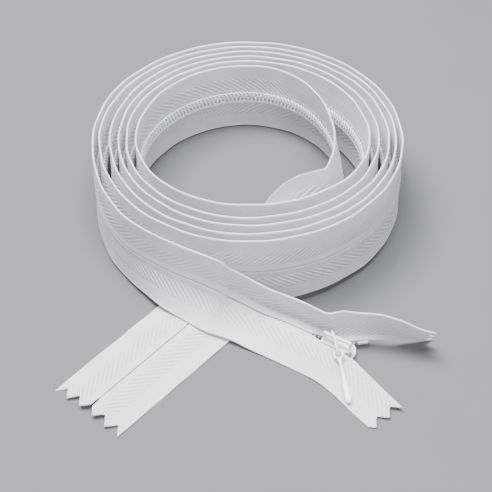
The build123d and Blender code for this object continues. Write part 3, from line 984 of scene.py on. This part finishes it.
class Bench:
    """Hand tools for cast pieces, in millimetres round the piece's own origin."""

    @staticmethod
    def block(size: tuple, at: tuple) -> bpy.types.Object:
        """A cube scaled to size, in millimetres."""
        bpy.ops.object.select_all(action="DESELECT")
        bpy.ops.mesh.primitive_cube_add(size=1, location=at)
        obj = bpy.context.object
        obj.scale = size
        bpy.ops.object.transform_apply(location=True, rotation=True, scale=True)
        return obj

    @staticmethod
    def ring(radius: float, wire: float, at: tuple, turned: tuple = (0, 0, 0)) -> bpy.types.Object:
        """A torus."""
        bpy.ops.object.select_all(action="DESELECT")
        bpy.ops.mesh.primitive_torus_add(
            location=at, rotation=turned, major_radius=radius, minor_radius=wire, major_segments=40, minor_segments=14
        )
        bpy.ops.object.transform_apply(location=True, rotation=True, scale=True)
        return bpy.context.object

    @staticmethod
    def pick(obj: bpy.types.Object, test: Callable[[Vector], bool], kind: str) -> None:
        """Enters edit mode with the faces or points that pass a test selected."""
        only(obj)
        bpy.ops.object.mode_set(mode="EDIT")
        bpy.ops.mesh.select_mode(type=kind)
        bpy.ops.mesh.select_all(action="DESELECT")
        bpy.ops.object.mode_set(mode="OBJECT")
        if kind == "FACE":
            for face in obj.data.polygons:
                face.select = test(face.center)
        else:
            for vertex in obj.data.vertices:
                vertex.select = test(vertex.co)
        bpy.ops.object.mode_set(mode="EDIT")

    @classmethod
    def draw_out(cls, obj: bpy.types.Object, stations: Sequence[tuple], height: float = 0.0) -> None:
        """Extrudes the end face at +x through stations of x, width and thickness scale.

        Args:
            obj: A block whose end face is drawn out.
            stations: Next x, scale of the width and scale of the thickness, each step.
            height: Height of the centre that the face is scaled about.
        """
        for x, wide, thick in stations:
            edge = max(v.co.x for v in obj.data.vertices)
            cls.pick(obj, lambda c: abs(c.x - edge) < 1e-4, "FACE")
            bpy.ops.mesh.extrude_region_move(TRANSFORM_OT_translate={"value": (x - edge, 0, 0)})
            bpy.ops.transform.resize(value=(1, wide, thick), center_override=(x, 0, height))
            bpy.ops.object.mode_set(mode="OBJECT")

    @staticmethod
    def cast(pieces: Sequence[bpy.types.Object], name: str, voxel: float, smooth: int) -> bpy.types.Object:
        """Fuses overlapping pieces into one casting with softened corners.

        Args:
            pieces: Pieces to fuse.
            name: Name of the casting.
            voxel: Grid size in millimetres.
            smooth: Rounds of smoothing.
        Returns:
            The casting.
        """
        bpy.ops.object.select_all(action="DESELECT")
        for piece in pieces:
            piece.select_set(True)
        bpy.context.view_layer.objects.active = pieces[0]
        bpy.ops.object.join()
        obj = bpy.context.object
        obj.name = obj.data.name = name
        bpy.ops.object.modifier_add(type="REMESH")
        remesh = obj.modifiers[-1]
        remesh.mode = "VOXEL"
        remesh.voxel_size = voxel
        bpy.ops.object.modifier_apply(modifier=remesh.name)
        bpy.ops.object.modifier_add(type="SMOOTH")
        soft = obj.modifiers[-1]
        soft.iterations = smooth
        soft.factor = 0.5
        bpy.ops.object.modifier_apply(modifier=soft.name)
        bpy.ops.object.shade_smooth()
        return obj

    @staticmethod
    def set_down(obj: bpy.types.Object, origin: np.ndarray, x: np.ndarray, z: np.ndarray) -> None:
        """Moves a piece's mesh from its own millimetres to its place in the row frame."""
        x, z = Vector(x).normalized(), Vector(z).normalized()
        y = z.cross(x)
        turn = Matrix((x, y, z)).transposed().to_4x4()
        obj.data.transform(Matrix.Translation(Vector(origin)) @ turn @ Matrix.Scale(MM, 4))
        obj.data.update()


@dataclass
class Pull:
    """Slider, its wire link and its teardrop tab."""

    path: ZipperPath
    length: float = 10.4
    half: float = 3.4
    shoulder: float = 4.6
    back_z: tuple = (-2.7, -1.85)
    front_z: tuple = (0.3, 0.95)
    front_half: float = 1.8
    bar_z: float = 3.6
    bar_x: float = 4.1
    wire: float = 0.425
    loop: float = 1.275
    loop_l: float = 4.3
    link_yaw: float = -49.0
    link_dip: float = 10.0
    link_at: float = -1.3
    eye: float = 1.65
    hole: float = 0.85
    tab_l: float = 15.6
    tab_yaw: float = -52.0
    tab_dip: float = -1.5

    def frames(self) -> dict[str, tuple]:
        """Origin, x and z directions of the slider, link and tab."""
        s = np.array([self.path.knots[-1] + SLIDER_S] * 2)
        p, normal = self.path.closed_points(s, np.array([HALF, 1.0]))
        heading = TOP_STATIONS[-1][2]
        along, z, right = ahead(heading), normal[0], normal[1]
        anchor = p[0] + along * self.link_at + z * self.bar_z
        frames = {"slider": (p[0], along, z)}
        down, side = self.dipped(heading + self.link_yaw, right, self.link_dip)
        frames["link"] = (anchor, down, np.cross(down, side))
        eye = anchor + down * (self.loop_l - 0.15 + self.loop)
        down, side = self.dipped(heading + self.tab_yaw, right, self.tab_dip)
        frames["tab"] = (eye, down, np.cross(down, side))
        shift = np.array([RING_AT[0], RING_AT[1], 0.0])
        return {k: ((o + shift) * MM, x, z) for k, (o, x, z) in frames.items()}

    @staticmethod
    def dipped(heading: float, right: np.ndarray, dip: float) -> tuple[np.ndarray, np.ndarray]:
        """Direction that lies on the right tape at a heading, dipped towards it."""
        level = ahead(heading)
        level = unit(level - right * (level @ right))
        down = level * cos(radians(dip)) - right * sin(radians(dip))
        return down, np.cross(right, level)

    def plate(self, length: float, tail: float, half: float, z: tuple, nose: float) -> bpy.types.Object:
        """Plate that widens from its tail to a shoulder, then to a rounded nose."""
        x0, x1 = -length / 2, length / 2
        thick, middle = z[1] - z[0], (z[0] + z[1]) / 2
        obj = Bench.block((0.5, 2 * tail, thick), (x0 + 0.25, 0, middle))
        outline = [
            (x1 - nose * 1.5, half),
            (x1 - nose, half * 0.95),
            (x1 - nose * 0.35, half * 0.68),
            (x1, half * 0.3),
        ]
        stations, wide = [], tail
        for x, y in outline:
            stations.append((x, y / wide, 1.0))
            wide = y
        Bench.draw_out(obj, stations, middle)
        return obj

    def body(self) -> bpy.types.Object:
        """Slider body: back plate with flanges, neck, slotted front plate and bridge."""
        front = self.plate(self.length - 0.6, self.front_half * 0.8, self.front_half, self.front_z, 2.0)
        Bench.pick(front, lambda c: c.z > self.front_z[1] - 0.05, "FACE")
        bpy.ops.mesh.inset(thickness=0.34, depth=0.0)
        bpy.ops.mesh.extrude_region_move(TRANSFORM_OT_translate={"value": (0, 0, -0.5)})
        bpy.ops.object.mode_set(mode="OBJECT")
        back = self.plate(self.length, self.half, self.shoulder, self.back_z, 2.6)
        Bench.pick(back, lambda c: c.z < self.back_z[0] + 0.05, "FACE")
        bpy.ops.mesh.inset(thickness=0.6, depth=0.0)
        bpy.ops.mesh.extrude_region_move(TRANSFORM_OT_translate={"value": (0, 0, 0.2)})
        bpy.ops.object.mode_set(mode="OBJECT")
        pieces = [back, front]
        for sign in (1, -1):
            pieces.append(Bench.block((1.6, 0.74, 1.3), (-3.9, sign * 3.03, -1.4)))
            leg = Bench.block((0.8, 0.8, 3.1), (sign * (self.bar_x - 0.05), 0, 2.4))
            pieces.append(leg)
        pieces.append(Bench.block((3.0, 0.6, 2.8), (3.1, 0, -0.75)))
        pieces.append(Bench.block((2 * self.bar_x + 0.7, 0.8, 0.8), (0, 0, self.bar_z)))
        pieces.append(Bench.block((6.8, 0.6, 0.3), (0.0, 0, 0.7)))
        return Bench.cast(pieces, "slider", 0.08, 3)

    def link(self) -> bpy.types.Object:
        """Closed wire loop, a ring with one half drawn away."""
        obj = Bench.ring(self.loop, self.wire, (-0.15, 0, 0), (pi / 2, 0, 0))
        Bench.pick(obj, lambda c: c.x > -0.15 + 1e-3, "VERT")
        bpy.ops.transform.translate(value=(self.loop_l, 0, 0))
        bpy.ops.object.mode_set(mode="OBJECT")
        bpy.ops.object.shade_smooth()
        obj.name = obj.data.name = "link"
        return obj

    def tab(self) -> bpy.types.Object:
        """Teardrop tab: a flat eye, a thin neck and a swelling drop."""
        mid = (self.eye + self.hole) / 2
        wire = (self.eye - self.hole) / 2
        eye = Bench.ring(mid, wire, (0, 0, 0))
        shaft = Bench.block((0.4, 1.5, 0.7), (mid + 0.05, 0, 0))
        x = [2.1, 3.0, 5.0, 8.0, 11.0, 13.2, 14.6, 15.3, self.tab_l]
        half = [0.58, 0.5, 0.56, 0.78, 1.02, 1.15, 1.02, 0.72, 0.3]
        thick = [0.36, 0.38, 0.42, 0.46, 0.5, 0.5, 0.44, 0.32, 0.14]
        was, deep, stations = 0.75, 0.35, []
        for i, place in enumerate(x):
            stations.append((place, half[i] / was, thick[i] / deep))
            was, deep = half[i], thick[i]
        Bench.draw_out(shaft, stations)
        only(shaft)
        bpy.ops.object.modifier_add(type="SUBSURF")
        shaft.modifiers[-1].levels = shaft.modifiers[-1].render_levels = 2
        bpy.ops.object.modifier_apply(modifier=shaft.modifiers[-1].name)
        return Bench.cast([eye, shaft], "pull_tab_drop", 0.09, 4)

    def dressed(self, enamel: bpy.types.Material) -> None:
        """Builds the three pieces, sets them down and dresses them."""
        frames = self.frames()
        made = {"slider": self.body(), "link": self.link(), "tab": self.tab()}
        nodes = {"slider": "slider_body", "link": "pull_link", "tab": "pull_tab"}
        for key, obj in made.items():
            Bench.set_down(obj, *frames[key])
            dress(obj, enamel, key, [nodes[key]])


@dataclass
class Stops:
    """End stops moulded over the coil."""

    path: ZipperPath
    length: float = 3.0
    height: float = 1.25

    def block_at(self, name: str, side: Side, s: float, d: float, width: float, n: float) -> bpy.types.Object:
        """Ribbed block centred at s along, d from the seam and n out of the front."""
        ribs = [Bench.block((self.length, width, self.height * 0.8), (0, 0, 0))]
        for i in range(3):
            at = ((i - 1) * self.length * 0.31, 0, 0)
            ribs.append(Bench.block((self.length * 0.2, width + 0.12, self.height), at))
        obj = Bench.cast(ribs, name, 0.1, 4)
        at = np.array([s, s + 0.5, s])
        p = self.path.points(side, at, np.array([d, d, d]), np.array([n, n, n + 0.5]))
        Bench.set_down(obj, p[0], unit(p[1] - p[0]), unit(p[2] - p[0]))
        return obj

    def dressed(self, nylon: bpy.types.Material) -> None:
        """Builds the two top stops and the bottom stop and dresses them."""
        top = self.path.closed + END_STOP_S
        for side in Side:
            name = side.word + "_top_stop"
            obj = self.block_at(name + "_moulded", side, top, 1.55, 2.3, -0.98)
            dress(obj, nylon, "tape_assembly", [name])
        low = self.block_at("bottom_stop_moulded", Side.LEFT, CHAIN_START - 1.6, 0.0, 4.3, -0.86)
        dress(low, nylon, "tape_assembly", ["bottom_stop"])


@dataclass
class Studio:
    """Floor, lights and camera."""

    elevation: float = 46.5
    distance: float = 0.5
    lens: float = 119.27
    aim: tuple = (-0.00045, 0.00256, 0.0)

    def floor(self) -> None:
        """Plain pale floor."""
        bpy.ops.object.select_all(action="DESELECT")
        bpy.ops.mesh.primitive_plane_add(size=6, location=(0, 0, 0))
        floor = bpy.context.object
        floor.name = "floor"
        g = Graph("floor_paper")
        grain = g.noise(g.place(), 30.0, 4.0)
        colour = g.blend(grain, (0.125, 0.126, 0.131), (0.135, 0.136, 0.142))
        floor.data.materials.append(g.finish({"Base Color": colour, "Roughness": 0.9}))

    def light(self, name: str, at: tuple, size: float, power: float, colour: tuple) -> None:
        """Square soft box aimed at the zipper.

        Args:
            name: Name of the light.
            at: Its place in metres.
            size: Length of its side.
            power: Power in watts.
            colour: Its colour.
        """
        data = bpy.data.lights.new(name, "AREA")
        data.size, data.energy, data.color = size, power, colour
        obj = bpy.data.objects.new(name, data)
        obj.location = at
        obj.rotation_euler = (Vector(self.aim) - Vector(at)).to_track_quat("-Z", "Y").to_euler()
        bpy.context.scene.collection.objects.link(obj)

    def build(self) -> None:
        """Sets the studio up."""
        self.floor()
        self.light("key", (-0.3, 0.2, 0.95), 0.4, 24.0, (1.0, 0.99, 0.98))
        self.light("fill", (0.35, -0.8, 0.75), 0.9, 9.0, (0.96, 0.97, 1.0))
        self.light("top", (0.05, 0.0, 1.1), 0.5, 20.0, (1.0, 1.0, 1.0))
        world = bpy.data.worlds.new("studio")
        world.use_nodes = True
        back = world.node_tree.nodes["Background"]
        back.inputs[0].default_value = (0.93, 0.94, 1.0, 1.0)
        back.inputs[1].default_value = 0.45
        bpy.context.scene.world = world
        data = bpy.data.cameras.new("camera")
        data.lens, data.sensor_width = self.lens, 36.0
        data.clip_start = 0.01
        camera = bpy.data.objects.new("camera", data)
        e = radians(self.elevation)
        back_way = Vector((0, -cos(e), sin(e)))
        camera.location = Vector(self.aim) + back_way * self.distance
        camera.rotation_euler = (-back_way).to_track_quat("-Z", "Y").to_euler()
        bpy.context.scene.collection.objects.link(camera)
        bpy.context.scene.camera = camera


def main() -> None:
    """Builds and dresses the zipper piece by piece."""
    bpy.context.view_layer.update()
    Studio().build()
    path = ZipperPath()
    log.info("zipper %.0f mm long", path.total)
    woven = WovenTape().material()
    nylon = Nylon().material()
    cord = TwistedYarn("filler_yarn", lay=1.6).material()
    yarn = TwistedYarn("sewing_yarn", lay=0.6).material()
    for side in Side:
        Tape(path, side).dressed(woven)
        Coil(path, side).dressed(nylon, cord, yarn)
    Stops(path).dressed(Nylon("stop_nylon", roughness=0.42).material())
    Pull(path).dressed(Enamel().material())


if __name__ == "__main__":
    logging.basicConfig(level=logging.INFO, format="%(name)s %(message)s")
    main()
